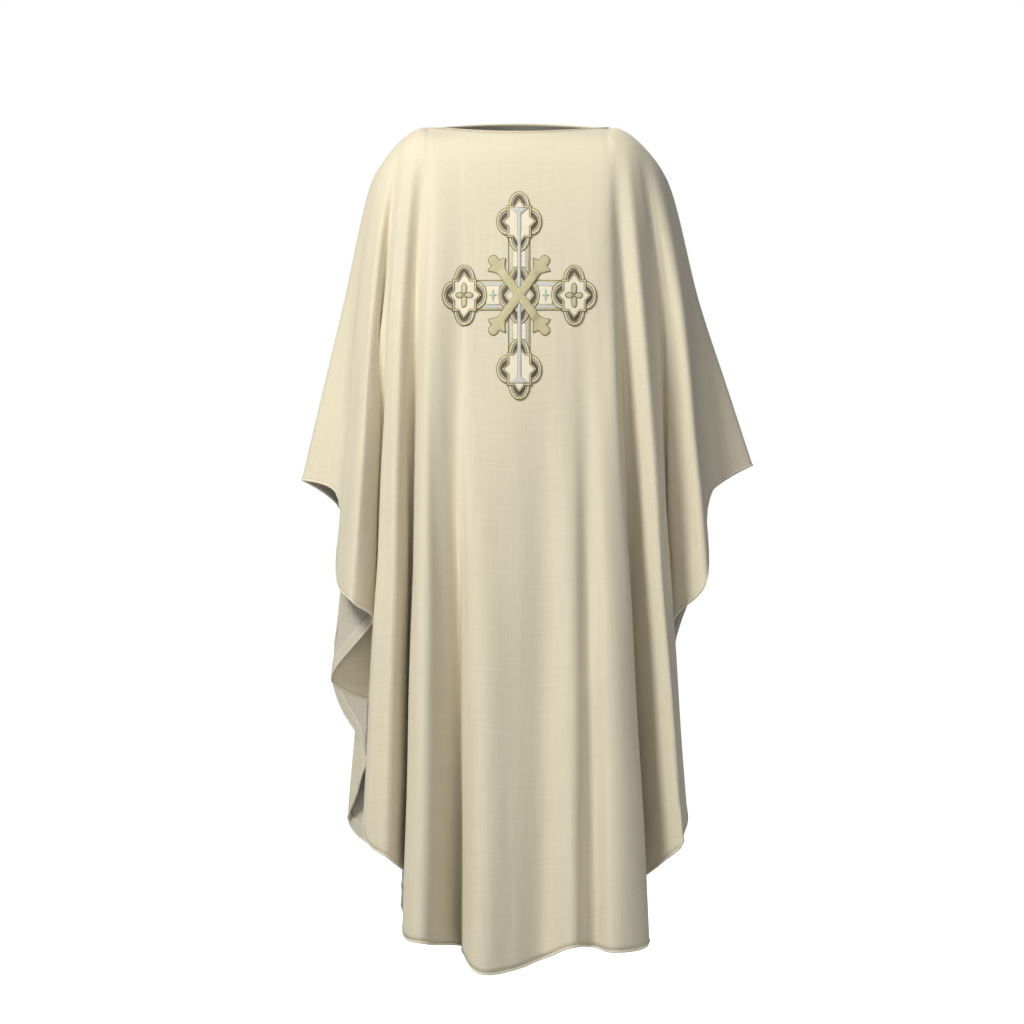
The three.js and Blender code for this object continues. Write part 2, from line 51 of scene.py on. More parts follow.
# ---------------------------------------------------------------- sizes

panel_low, panel_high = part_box("front_panel")
CAD_CLOTH = 0.002  # thickness of the cloth in the CAD, which widens the box of its panel
HEM_ROOM = 0.0005  # taken off the length, for the lip that goes round the hem
WING_SHARES = (0.974, 1.048)  # how far the outermost folds below reach across, left and right
LENGTH = -panel_low.z - HEM_ROOM  # neck level to the lowest point of the hem
WING_REACH = (panel_high.x - panel_low.x - CAD_CLOTH) / sum(WING_SHARES)
HEM_DEPTH = 0.226  # centre plane to the foremost fold at the hem
CHEST_DEPTH = 0.150  # centre plane to the cloth over the chest
NECK_HALF_WIDTH = 0.141
NECK_DEPTH = 0.072
FRONT_NECK_DIP = 0.014
BACK_NECK_RISE = 0.014
SHOULDER_REACH = 0.207
SHOULDER_FALL = 0.048
CLOTH = 0.0016  # thickness of the cloth

FACING_WIDTH = 0.045  # of the neck facings
HEM_TAPE_WIDTH = 0.024
TAPE = 0.0008  # thickness of the facings and hem tapes
SEWN_GAP = 0.0001  # between the cloth and a facing or hem tape
SHOULDER_TAPE = (0.014, 0.0015)  # width and thickness
SHOULDER_TAPE_SPAN = (1.12, 1.72)  # places along the top edge, as the fold lines' starts

SPAN_COLUMNS = 8  # columns of faces between a fold line and the next
ROW_COUNT = 120  # rows of faces from neck to hem
STEPS = 160  # samples along a fold line

# ---------------------------------------------------------------- how the cloth hangs

# Each fold line runs from the top edge over the chest to the hem: its start along the top edge (0 in
# the middle, 1 at the neck end of a seam, 2 at the shoulder), then across, out and drop at the chest
# and at the hem, as shares of WING_REACH, of CHEST_DEPTH or HEM_DEPTH, and of LENGTH.
SIDE_CHEST = 0.212  # drop at the chest, for the folds at the sides
MID_CHEST = 0.324  # and for the folds in the middle
FRONT_FOLDS = [
    (-2.0, (-0.786, 0.0, SIDE_CHEST), (-WING_SHARES[0], 0.0, 0.426)),
    (-1.88, (-0.738, 0.187, SIDE_CHEST), (-0.82, 0.115, 0.44)),
    (-1.74, (-0.69, 0.453, SIDE_CHEST), (-0.802, 0.381, 0.548)),
    (-1.62, (-0.644, 0.613, SIDE_CHEST), (-0.73, 0.602, 0.571)),
    (-1.5, (-0.604, 0.48, SIDE_CHEST), (-0.654, 0.372, 0.595)),
    (-1.4, (-0.591, 0.56, SIDE_CHEST), (-0.836, 0.212, 0.667)),
    (-1.3, (-0.573, 0.64, SIDE_CHEST), (-0.614, 0.035, 0.707)),
    (-1.2, (-0.548, 0.753, SIDE_CHEST), (-0.671, 0.673, 0.85)),
    (-1.1, (-0.513, 0.807, SIDE_CHEST), (-0.578, 0.788, 0.868)),
    (-1.0, (-0.458, 0.68, SIDE_CHEST), (-0.477, 0.204, 0.911)),
    (-0.93, (-0.423, 0.807, SIDE_CHEST), (-0.501, 0.841, 0.96)),
    (-0.82, (-0.39, 0.933, SIDE_CHEST), (-0.418, 0.965, 0.965)),
    (-0.6, (-0.271, 0.947, MID_CHEST), (-0.251, 0.442, 0.98)),
    (-0.5, (-0.232, 0.993, MID_CHEST), (-0.236, 0.841, 0.986)),
    (-0.32, (-0.158, 1.02, MID_CHEST), (-0.156, 1.0, 1.0)),
    (-0.05, (-0.017, 1.02, MID_CHEST), (-0.023, 0.938, 0.997)),
    (0.16, (0.112, 1.0, MID_CHEST), (0.106, 0.823, 0.986)),
    (0.36, (0.231, 0.993, MID_CHEST), (0.233, 0.956, 0.97)),
    (0.5, (0.293, 0.96, MID_CHEST), (0.307, 0.823, 0.972)),
    (0.68, (0.361, 0.967, MID_CHEST), (0.405, 0.982, 0.975)),
    (0.88, (0.407, 0.853, SIDE_CHEST), (0.553, 0.832, 0.971)),
    (1.0, (0.455, 0.68, SIDE_CHEST), (0.507, 0.195, 0.919)),
    (1.16, (0.53, 0.773, SIDE_CHEST), (0.713, 0.726, 0.851)),
    (1.3, (0.581, 0.627, SIDE_CHEST), (0.73, 0.398, 0.803)),
    (1.45, (0.622, 0.44, SIDE_CHEST), (0.668, 0.088, 0.692)),
    (1.58, (0.658, 0.467, SIDE_CHEST), (0.697, 0.257, 0.591)),
    (1.72, (0.712, 0.507, SIDE_CHEST), (0.82, 0.504, 0.55)),
    (1.86, (0.765, 0.2, SIDE_CHEST), (0.863, 0.115, 0.438)),
    (2.0, (0.81, 0.0, SIDE_CHEST), (WING_SHARES[1], 0.0, 0.408)),
]
BACK_FOLDS = [
    (-2.0, (-0.786, 0.0, SIDE_CHEST), (-WING_SHARES[0], 0.0, 0.426)),
    (-1.86, (-0.75, 0.24, SIDE_CHEST), (-0.808, 0.159, 0.461)),
    (-1.72, (-0.704, 0.44, SIDE_CHEST), (-0.805, 0.336, 0.571)),
    (-1.58, (-0.654, 0.613, SIDE_CHEST), (-0.857, 0.558, 0.679)),
    (-1.44, (-0.624, 0.6, SIDE_CHEST), (-0.691, 0.23, 0.765)),
    (-1.25, (-0.606, 0.72, SIDE_CHEST), (-0.775, 0.496, 0.852)),
    (-1.0, (-0.473, 0.733, SIDE_CHEST), (-0.546, 0.301, 0.897)),
    (-0.84, (-0.404, 0.927, SIDE_CHEST), (-0.529, 0.903, 0.971)),
    (-0.55, (-0.282, 0.98, MID_CHEST), (-0.323, 0.619, 0.973)),
    (-0.25, (-0.136, 1.0, MID_CHEST), (-0.155, 0.96, 0.993)),
    (0.05, (0.031, 1.0, MID_CHEST), (0.031, 0.664, 0.988)),
    (0.35, (0.18, 1.0, MID_CHEST), (0.201, 0.96, 0.99)),
    (0.62, (0.314, 0.973, MID_CHEST), (0.344, 0.602, 0.971)),
    (0.84, (0.406, 0.927, SIDE_CHEST), (0.519, 0.881, 0.967)),
    (1.0, (0.475, 0.733, SIDE_CHEST), (0.547, 0.301, 0.889)),
    (1.25, (0.582, 0.733, SIDE_CHEST), (0.695, 0.602, 0.836)),
    (1.5, (0.634, 0.54, SIDE_CHEST), (0.627, 0.199, 0.705)),
    (1.7, (0.71, 0.5, SIDE_CHEST), (0.788, 0.46, 0.561)),
    (1.86, (0.772, 0.24, SIDE_CHEST), (0.849, 0.181, 0.446)),
    (2.0, (0.81, 0.0, SIDE_CHEST), (WING_SHARES[1], 0.0, 0.408)),
]
# Just below the top edge the cloth turns over the shoulders: this share of the way across to the chest,
# of CHEST_DEPTH out in the middle of the panel (less towards the shoulders), and of LENGTH down.
TURN_ACROSS = 0.33
TURN_OUT = 0.66
TURN_DROP = 0.026
NECK_ROUNDNESS = 0.7  # 0.5 makes the neck opening an ellipse, 1 a pointed lens
MIRROR_Y = np.array([1.0, -1.0, 1.0])


def top_edge(start, facing):
    """A point of the neckline, or of the seam out to the shoulder. facing is -1 in front, 1 behind."""
    along = abs(start)
    if along <= 1:
        round_ = 1 - along * along
        lift = -FRONT_NECK_DIP if facing < 0 else BACK_NECK_RISE
        out = facing * NECK_DEPTH * round_**NECK_ROUNDNESS
        return np.array([NECK_HALF_WIDTH * start, out, lift * round_])
    out = along - 1
    across = math.copysign(NECK_HALF_WIDTH + (SHOULDER_REACH - NECK_HALF_WIDTH) * out, start)
    return np.array([across, 0.0, -SHOULDER_FALL * out * out])


def smooth_curve(points, samples):
    """Centripetal Catmull-Rom through points (n, 3), or (n, k, 3) for k curves at once."""
    points = np.asarray(points, float)
    ends = [2 * points[0] - points[1], 2 * points[-1] - points[-2]]
    p = np.concatenate([ends[:1], points, ends[1:]])
    i = np.clip(np.floor(samples).astype(int), 0, len(points) - 2)
    t = (samples - i).reshape(-1, *([1] * (points.ndim - 1)))
    a, b, c, d = p[i], p[i + 1], p[i + 2], p[i + 3]
    steps = ((a, b), (b, c), (c, d))
    gap = [np.sqrt(np.linalg.norm(v - u, axis=-1, keepdims=True)) + 1e-6 for u, v in steps]
    leave = ((b - a) / gap[0] - (c - a) / (gap[0] + gap[1]) + (c - b) / gap[1]) * gap[1]
    arrive = ((c - b) / gap[1] - (d - b) / (gap[1] + gap[2]) + (d - c) / gap[2]) * gap[1]
    cubic = (2 * b - 2 * c + leave + arrive, -3 * b + 3 * c - 2 * leave - arrive)
    return ((cubic[0] * t + cubic[1]) * t + leave) * t + b


def fold_line(fold, facing):
    """Points evenly spaced in share of length down one fold, and its length."""
    start, chest, hem = fold
    top = top_edge(start, facing)
    chest = np.array(chest) * (WING_REACH, facing * CHEST_DEPTH, -LENGTH)
    hem = np.array(hem) * (WING_REACH, facing * HEM_DEPTH, -LENGTH)
    turn = np.array([
        top[0] + (chest[0] - top[0]) * TURN_ACROSS,
        facing * CHEST_DEPTH * TURN_OUT * math.sqrt(1 - (start / 2) ** 2),
        top[2] - TURN_DROP * LENGTH,
    ])
    before = 2 * top - turn
    if abs(start) == 2:
        before = top_edge(start * 0.8, facing)
    elif abs(start) > 1:
        before = turn * MIRROR_Y
    line = smooth_curve([before, top, turn, chest, (chest + hem) / 2, hem], np.linspace(1, 5, STEPS))
    steps = np.linalg.norm(np.diff(line, axis=0), axis=1)
    length = np.concatenate([[0], np.cumsum(steps)])
    at = np.linspace(0, length[-1], ROW_COUNT + 1)
    return np.stack([np.interp(at, length, line[:, k]) for k in range(3)], axis=1), length[-1]


def drape(folds, facing):
    """Grid of points (rows, columns, 3) of a panel's middle surface, and each column's length and start."""
    lines, lengths = zip(*(fold_line(fold, facing) for fold in folds))
    first, last = lines[1] * MIRROR_Y, lines[-2] * MIRROR_Y
    stack = np.stack([first, *lines, last])
    spans = len(folds) - 1
    places = np.linspace(0, spans, spans * SPAN_COLUMNS + 1)
    grid = smooth_curve(stack, places + 1).transpose(1, 0, 2)
    starts = np.interp(places, range(spans + 1), [fold[0] for fold in folds])
    grid[0] = [top_edge(start, facing) for start in starts]
    grid[:, 0, 1] = 0
    grid[:, -1, 1] = 0
    return grid, np.interp(places, range(spans + 1), lengths), starts


# ---------------------------------------------------------------- meshes


def new_object(name, vertices, faces, materials=(), uv=None, material_of=None):
    mesh = bpy.data.meshes.new(name)
    mesh.from_pydata([tuple(v) for v in vertices], [], [tuple(int(i) for i in f) for f in faces])
    if uv is not None:
        layer = mesh.uv_layers.new(name="cloth")
        corners = np.empty(len(mesh.loops), np.int32)
        mesh.loops.foreach_get("vertex_index", corners)
        layer.data.foreach_set("uv", np.asarray(uv, np.float32)[corners].ravel())
    for material in materials:
        mesh.materials.append(material)
    if material_of is not None:
        mesh.polygons.foreach_set("material_index", np.asarray(material_of, np.int32))
    mesh.polygons.foreach_set("use_smooth", np.ones(len(mesh.polygons), bool))
    mesh.update()
    obj = bpy.data.objects.new(name, mesh)
    bpy.context.scene.collection.objects.link(obj)
    return obj


def grid_faces(rows, columns, flip=False):
    r, c = np.meshgrid(np.arange(rows - 1), np.arange(columns - 1), indexing="ij")
    a = (r * columns + c).ravel()
    quads = np.stack([a, a + columns, a + columns + 1, a + 1], axis=1)
    return quads[:, ::-1] if flip else quads


def grid_normals(grid, facing):
    normal = np.cross(np.gradient(grid, axis=0), np.gradient(grid, axis=1)) * -facing
    return normal / np.maximum(np.linalg.norm(normal, axis=2, keepdims=True), 1e-9)


def apply_modifiers(obj):
    depsgraph = bpy.context.evaluated_depsgraph_get()
    mesh = bpy.data.meshes.new_from_object(obj.evaluated_get(depsgraph))
    old = obj.data
    obj.modifiers.clear()
    obj.data = mesh
    bpy.data.meshes.remove(old)
    return obj


def thicken(obj, thickness, inside_material=0):
    solidify = obj.modifiers.new("thickness", "SOLIDIFY")
    solidify.thickness = thickness
    solidify.offset = 0
    solidify.material_offset = inside_material
    return apply_modifiers(obj)


def cloth_across(grid):
    """How far along the hem each column lies, in metres of cloth."""
    steps = np.linalg.norm(np.diff(grid[-1], axis=0), axis=1)
    along = np.concatenate([[0], np.cumsum(steps)])
    return along - along[-1] / 2


def settle(grid, facing):
    """Small soft waves in the cloth, which die out towards the top edge and the seams."""
    rows, columns = grid.shape[:2]
    down = np.linspace(0, 1, rows)[:, None]
    across = cloth_across(grid)[None, :]
    from_seam = np.minimum(np.arange(columns), columns - 1 - np.arange(columns))[None, :] / SPAN_COLUMNS
    calm_top, growth, calm_spans = 0.1, 0.5, 3  # shares of the length, and spans between fold lines
    strength = np.clip((down - calm_top) / growth, 0, 1) ** 1.5 * np.clip(from_seam / calm_spans, 0, 1)
    # Each wave has its turns along the cloth, bent on its way down the panel, and its height in metres.
    wave = np.sin(across * 71 + 1.9 * np.sin(down * 5.1 + 0.7)) * 0.0014
    wave = wave + np.sin(across * 43 + 2.3 * np.sin(down * 3.3 + 2.1) + 1.2) * 0.0018
    wave = wave + np.sin(across * 17 + down * 9.0) * np.sin(down * 14 + across * 5) * 0.0012
    return grid + grid_normals(grid, facing) * (wave * strength)[:, :, None]


# ---------------------------------------------------------------- strips sewn along an edge


def at_rows(values, rows):
    """One point per column, at a row that need not be whole, or may lie just past the edge."""
    low = np.clip(np.floor(rows).astype(int), 0, len(values) - 2)
    share = (rows - low)[:, None]
    column = np.arange(values.shape[1])
    return values[low, column] * (1 - share) + values[low + 1, column] * share


def edge_strip(name, panel, columns, at_hem, width, inside, lip):
    """A strip inside the cloth along an edge, with a narrow lip turned round the edge to the outside."""
    grid, normals = panel["grid"][:, columns], panel["normals"][:, columns]
    lengths = panel["lengths"][columns]
    lift = CLOTH / 2 + TAPE / 2 + SEWN_GAP
    # Distances in from the edge, and offsets from the cloth's middle: the strip, then the lip.
    profile = [(width, -lift), (width * 0.66, -lift), (width * 0.33, -lift), (0.002, -lift)]
    lip_from = len(profile) - 1
    profile += [(0.0002, -lift), (-0.0009, -0.6 * lift), (-0.0012, 0)]
    profile += [(-0.0009, 0.6 * lift), (0.0002, lift), (0.0022, lift)]
    rows, uv = [], []
    along = cloth_across(grid)
    for distance, offset in profile:
        row = distance / lengths * ROW_COUNT
        row = ROW_COUNT - row if at_hem else row
        rows.append(at_rows(grid, row) + at_rows(normals, np.clip(row, 0, ROW_COUNT)) * offset)
        uv.append(np.stack([along, np.full(len(along), distance)], axis=1))
    faces = grid_faces(len(rows), len(along), flip=at_hem != (panel["facing"] > 0))
    # The lip takes the second material; on the hem that is a lighter tape colour, painted highlight along
    # the hem edge.
    material_of = (faces.min(axis=1) // len(along) >= lip_from).astype(int)
    strip = new_object(name, np.concatenate(rows), faces, [inside, lip], np.concatenate(uv), material_of)
    return thicken(strip, TAPE)


def shoulder_tape(name, node, sign, material):
    """A woven tape, flat and straight under a shoulder seam, where the CAD puts it."""
    low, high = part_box(node)
    middle = (low + high) / 2
    inner, outer = (Vector(top_edge(sign * start, -1)) for start in SHOULDER_TAPE_SPAN)
    along = (outer - inner).normalized()
    length = (outer - inner).length
    up = Vector((-along.z, 0, along.x)) * (1 if along.x > 0 else -1)
    width, thickness = SHOULDER_TAPE
    steps = 24
    # The tape's cross section, ribbed along both edges, in shares of its width and thickness.
    section = [(-0.5, 0.2), (-0.42, 0.5), (-0.3, 0.42), (0, 0.5), (0.3, 0.42), (0.42, 0.5), (0.5, 0.2)]
    section += [(0.5, -0.2), (0.42, -0.5), (0, -0.5), (-0.42, -0.5), (-0.5, -0.2)]
    vertices, uv = [], []
    for i in range(steps + 1):
        for across, rise in section:
            place = middle + along * (length * (i / steps - 0.5)) + up * (rise * thickness)
            vertices.append(place + Vector((0, across * width, 0)))
            uv.append((length * i / steps, across * width))
    count = len(section)
    faces = []
    for i in range(0, steps * count, count):
        for k in range(count):
            after = (k + 1) % count
            faces.append([i + k, i + after, i + count + after, i + count + k])
    faces += [list(range(count))[::-1], [steps * count + k for k in range(count)]]
    if along.x > 0:
        faces = [face[::-1] for face in faces]
    return new_object(name, vertices, faces, [material], uv)


# ---------------------------------------------------------------- materials


def node_material(name, build):
    material = bpy.data.materials.new(name)
    material.use_nodes = True
    tree = material.node_tree
    tree.nodes.clear()
    output = tree.nodes.new("ShaderNodeOutputMaterial")
    shader = tree.nodes.new("ShaderNodeBsdfPrincipled")
    tree.links.new(shader.outputs["BSDF"], output.inputs["Surface"])
    build(tree, shader)
    return material


class Nodes:
    """Short ways to add the nodes of a woven or stitched material, all laid out by the cloth's own UV."""

    def __init__(self, tree):
        self.tree = tree
        self.uv = tree.nodes.new("ShaderNodeUVMap")
        self.uv.uv_map = "cloth"

    def scaled(self, x, y):
        mapping = self.tree.nodes.new("ShaderNodeMapping")
        mapping.inputs["Scale"].default_value = (x, y, 1)
        self.tree.links.new(self.uv.outputs["UV"], mapping.inputs["Vector"])
        return mapping.outputs["Vector"]

    def noise(self, x, y, detail=2):
        texture = self.tree.nodes.new("ShaderNodeTexNoise")
        texture.inputs["Scale"].default_value = 1.0
        texture.inputs["Detail"].default_value = detail
        self.tree.links.new(self.scaled(x, y), texture.inputs["Vector"])
        return texture.outputs["Fac"]

    def maths(self, operation, *values):
        node = self.tree.nodes.new("ShaderNodeMath")
        node.operation = operation
        for socket, value in zip(node.inputs, values):
            if isinstance(value, (int, float)):
                socket.default_value = value
            else:
                self.tree.links.new(value, socket)
        return node.outputs[0]

    def blend(self, fac, low, high, colours):
        """Two colours mixed as fac goes from low to high."""
        spread = self.tree.nodes.new("ShaderNodeMapRange")
        spread.inputs["From Min"].default_value = low
        spread.inputs["From Max"].default_value = high
        self.tree.links.new(fac, spread.inputs["Value"])
        mix = self.tree.nodes.new("ShaderNodeMix")
        mix.data_type = "RGBA"
        mix.inputs["A"].default_value = (*colours[0], 1)
        mix.inputs["B"].default_value = (*colours[1], 1)
        self.tree.links.new(spread.outputs["Result"], mix.inputs["Factor"])
        return mix.outputs["Result"]

    def bump(self, height, strength, distance, shader):
        bump = self.tree.nodes.new("ShaderNodeBump")
        bump.inputs["Strength"].default_value = strength
        bump.inputs["Distance"].default_value = distance
        self.tree.links.new(height, bump.inputs["Height"])
        self.tree.links.new(bump.outputs["Normal"], shader.inputs["Normal"])


def cloth_material(name, dark, light, sheen=0.25, weave=0.0011):
    """Plain matt weave with slubby threads both ways and faint patches."""
    def build(tree, shader):
        nodes = Nodes(tree)
        threads = nodes.maths("ADD", nodes.maths("MULTIPLY", nodes.noise(420, 7), 0.62),
                              nodes.maths("MULTIPLY", nodes.noise(9, 380), 0.38))
        tone = nodes.maths("ADD", nodes.maths("MULTIPLY", threads, 0.72),
                           nodes.maths("MULTIPLY", nodes.noise(5, 3, 3), 0.28))
        tree.links.new(nodes.blend(tone, 0.35, 0.65, (dark, light)), shader.inputs["Base Color"])
        cells = tree.nodes.new("ShaderNodeTexVoronoi")
        cells.inputs["Scale"].default_value = 1.0
        cells.inputs["Randomness"].default_value = 0.25
        tree.links.new(nodes.scaled(1 / weave, 1 / weave), cells.inputs["Vector"])
        height = nodes.maths("ADD", nodes.maths("MULTIPLY", cells.outputs["Distance"], -0.5), threads)
        nodes.bump(height, 0.3, 0.0006, shader)
        shader.inputs["Roughness"].default_value = 0.88
        shader.inputs["Sheen Weight"].default_value = sheen
        shader.inputs["Sheen Roughness"].default_value = 0.6
        shader.inputs["Specular IOR Level"].default_value = 0.25

    return node_material(name, build)


def thread_material(name, dark, light, lay=(1.0, 0.0), pitch=0.0007, gloss=0.42):
    """Satin stitch: threads side by side, one every pitch along lay, with the soft shine of rayon."""
    def build(tree, shader):
        nodes = Nodes(tree)
        turns = 2 * math.pi / pitch
        dot = tree.nodes.new("ShaderNodeVectorMath")
        dot.operation = "DOT_PRODUCT"
        tree.links.new(nodes.scaled(turns, turns), dot.inputs[0])
        dot.inputs[1].default_value = (*lay, 0)
        ridges = nodes.maths("SINE", dot.outputs["Value"])
        # The colour follows the stitch ridges: lighter on each crown and darker between stitches, painted
        # shade between the threads, over random tone.
        tone = nodes.maths("ADD", nodes.maths("MULTIPLY", ridges, 0.1), nodes.noise(700, 700))
        tree.links.new(nodes.blend(tone, 0.35, 0.7, (dark, light)), shader.inputs["Base Color"])
        nodes.bump(nodes.maths("ADD", ridges, nodes.noise(300, 300)), 0.35, 0.0002, shader)
        shader.inputs["Roughness"].default_value = gloss
        shader.inputs["Sheen Weight"].default_value = 0.3
        shader.inputs["Specular IOR Level"].default_value = 0.45

    return node_material(name, build)


WEAVE = cloth_material("vestment_weave", (0.685, 0.63, 0.50), (0.765, 0.71, 0.57))
# Painted shade: a darker copy of vestment_weave for the inside face of the same unlined cloth, standing in
# for the shade that falls there.
INSIDE_PAINTED_SHADE = cloth_material("vestment_inside_painted_shade", (0.53, 0.49, 0.43), (0.62, 0.58, 0.51), sheen=0.15)
FACING = cloth_material("facing_weave", (0.56, 0.52, 0.43), (0.68, 0.64, 0.54), weave=0.0008)
# Painted shade: the hem tape in the same darker tone as the painted inside, for the shade inside the hem.
HEM_TAPE_PAINTED_SHADE = cloth_material("hem_tape_painted_shade", (0.57, 0.53, 0.46), (0.66, 0.62, 0.54), sheen=0.15, weave=0.0009)
# Lighter than the weave. The shoulder tapes wear it; on the hem's lip it is painted highlight along the edge
# of the hem.
TAPE_WEAVE = cloth_material("tape_weave", (0.74, 0.70, 0.58), (0.86, 0.82, 0.71), weave=0.0009)
CANVAS = cloth_material("applique_canvas", (0.76, 0.71, 0.57), (0.88, 0.83, 0.70), weave=0.0006)
DIAGONAL = (0.7, 0.7)
GOLD = thread_material("gold_satin", (0.46, 0.41, 0.20), (0.70, 0.64, 0.38), DIAGONAL)
KHAKI = thread_material("khaki_satin", (0.50, 0.46, 0.27), (0.68, 0.63, 0.42), (0.0, 1.0))
PALE_GOLD = thread_material("pale_gold_satin", (0.62, 0.57, 0.33), (0.82, 0.77, 0.52), DIAGONAL)
SILVER = thread_material("pale_grey_satin", (0.52, 0.53, 0.53), (0.72, 0.73, 0.72), (0.0, 1.0))
OLIVE = thread_material("dark_olive_satin", (0.09, 0.08, 0.045), (0.17, 0.155, 0.09), (1.0, 0.0), gloss=0.5)
BROWN = thread_material("brown_cord", (0.10, 0.06, 0.02), (0.22, 0.13, 0.04), DIAGONAL, pitch=0.0016)
MINT = thread_material("mint_satin", (0.36, 0.50, 0.38), (0.52, 0.66, 0.52), (0.0, 1.0))

# ---------------------------------------------------------------- camera, light and floor

VIEW_HEIGHT = -0.604
VIEW_SIDE = -0.011
VIEW_PLANE = -0.08  # in y, a little in front of the middle of the garment
VIEW_DISTANCE = 5.2  # from the camera to that plane
VIEW_WIDTH = 1.587  # of the picture, at that plane
FLOOR_GAP = 0.15  # between the hem and the floor


def camera():
    data = bpy.data.cameras.new("camera")
    data.sensor_width = 36
    data.lens = data.sensor_width * VIEW_DISTANCE / VIEW_WIDTH
    obj = bpy.data.objects.new("camera", data)
    obj.location = (VIEW_SIDE, VIEW_PLANE - VIEW_DISTANCE, VIEW_HEIGHT)
    obj.rotation_euler = (math.pi / 2, 0, 0)
    bpy.context.scene.collection.objects.link(obj)
    bpy.context.scene.camera = obj


def area_light(name, place, target, size, power, colour):
    data = bpy.data.lights.new(name, "AREA")
    data.shape = "RECTANGLE"
    data.size, data.size_y = size
    data.energy = power
    data.color = colour
    obj = bpy.data.objects.new(name, data)
    obj.location = place
    obj.rotation_euler = (Vector(target) - Vector(place)).to_track_quat("-Z", "Y").to_euler()
    bpy.context.scene.collection.objects.link(obj)


def studio():
    bpy.context.scene.view_settings.view_transform = "Standard"
    area_light("key", (-1.65, -2.05, 1.9), (0.0, -0.1, -0.35), (1.0, 0.9), 112, (1.0, 0.975, 0.86))
    area_light("fill", (0.2, -3.0, 0.5), (0, 0, -0.2), (1.4, 1.4), 17, (1.0, 0.955, 0.98))
    area_light("back", (0.5, 2.8, 0.8), (0, 0, -0.5), (2.0, 2.0), 40, (1.0, 1.0, 0.98))
    world = bpy.data.worlds.new("studio")
    world.use_nodes = True
    nodes, link = world.node_tree.nodes, world.node_tree.links.new
    nodes.clear()
    out = nodes.new("ShaderNodeOutputWorld")
    background = nodes.new("ShaderNodeBackground")
    path = nodes.new("ShaderNodeLightPath")
    strength = nodes.new("ShaderNodeMapRange")
    strength.inputs["To Min"].default_value = 0.18
    strength.inputs["To Max"].default_value = 1.0
    link(path.outputs["Is Camera Ray"], strength.inputs["Value"])
    link(strength.outputs["Result"], background.inputs["Strength"])
    background.inputs["Color"].default_value = (1, 1, 1, 1)
    link(background.outputs["Background"], out.inputs["Surface"])
    bpy.context.scene.world = world
    edge = 30.0
    level = -LENGTH - FLOOR_GAP
    corners = [(-edge, -edge, level), (edge, -edge, level), (edge, edge, level), (-edge, edge, level)]
    new_object("floor", corners, [(0, 1, 2, 3)], [floor_material()])


def floor_material():
    """Pale, and evenly bright to the camera, without lighting the cloth from below."""
    def build(tree, shader):
        shader.inputs["Base Color"].default_value = (0.55, 0.55, 0.55, 1)
        shader.inputs["Roughness"].default_value = 1.0
        shader.inputs["Emission Color"].default_value = (1, 1, 1, 1)
        path = tree.nodes.new("ShaderNodeLightPath")
        glow = tree.nodes.new("ShaderNodeMath")
        glow.operation = "MULTIPLY"
        glow.inputs[1].default_value = 0.95
        tree.links.new(path.outputs["Is Camera Ray"], glow.inputs[0])
        tree.links.new(glow.outputs[0], shader.inputs["Emission Strength"])

    return node_material("pale_floor", build)


camera()
studio()

# ---------------------------------------------------------------- the garment


def own(obj, slot, *nodes):
    """The piece rides on the garment and stands for CAD nodes, which it hides. slot is not used."""
    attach(obj, BODY)
    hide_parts(*nodes)
    return obj


def hang_panel(side, folds, facing):
    """Hang the cloth of one side, with its hem and its neckline."""
    grid, lengths, starts = drape(folds, facing)
    grid = settle(grid, facing)
    panel = {"grid": grid, "normals": grid_normals(grid, facing), "lengths": lengths, "facing": facing}
    rows, columns = grid.shape[:2]
    down = np.linspace(0, 1, rows)[:, None] * lengths[None, :]
    uv = np.stack([np.broadcast_to(cloth_across(grid), (rows, columns)), down], axis=2)
    faces = grid_faces(rows, columns, flip=facing > 0)
    # The outside wears the weave; the inside face, made by thicken, wears the darker copy of it as painted
    # shade.
    cloth = new_object(f"{side}_cloth", grid.reshape(-1, 3), faces, [WEAVE, INSIDE_PAINTED_SHADE], uv.reshape(-1, 2))
    thicken(cloth, CLOTH, inside_material=1)
    # The hem tape wears painted shade, the darker tone of the inside.
    hem = edge_strip(f"{side}_hem", panel, slice(0, columns), True, HEM_TAPE_WIDTH, HEM_TAPE_PAINTED_SHADE, TAPE_WEAVE)
    neck = np.flatnonzero(np.abs(starts) <= 1)
    facing_columns = slice(neck[0], neck[-1] + 1)
    neckline = edge_strip(f"{side}_neckline", panel, facing_columns, False, FACING_WIDTH, FACING, WEAVE)
    own(cloth, "vestment_cloth", f"{side}_panel")
    own(hem, "hem_tape", f"{side}_hem_tape")
    own(neckline, "facing_cloth", f"{side}_neck_facing")
    return panel


for side, sign in (("left", -1), ("right", 1)):
    own(shoulder_tape(f"{side}_stay_tape", f"{side}_shoulder_tape", sign, TAPE_WEAVE), "hem_tape",
        f"{side}_shoulder_tape")
front = hang_panel("front", FRONT_FOLDS, -1)
hang_panel("back", BACK_FOLDS, 1)

# ---------------------------------------------------------------- the emblem

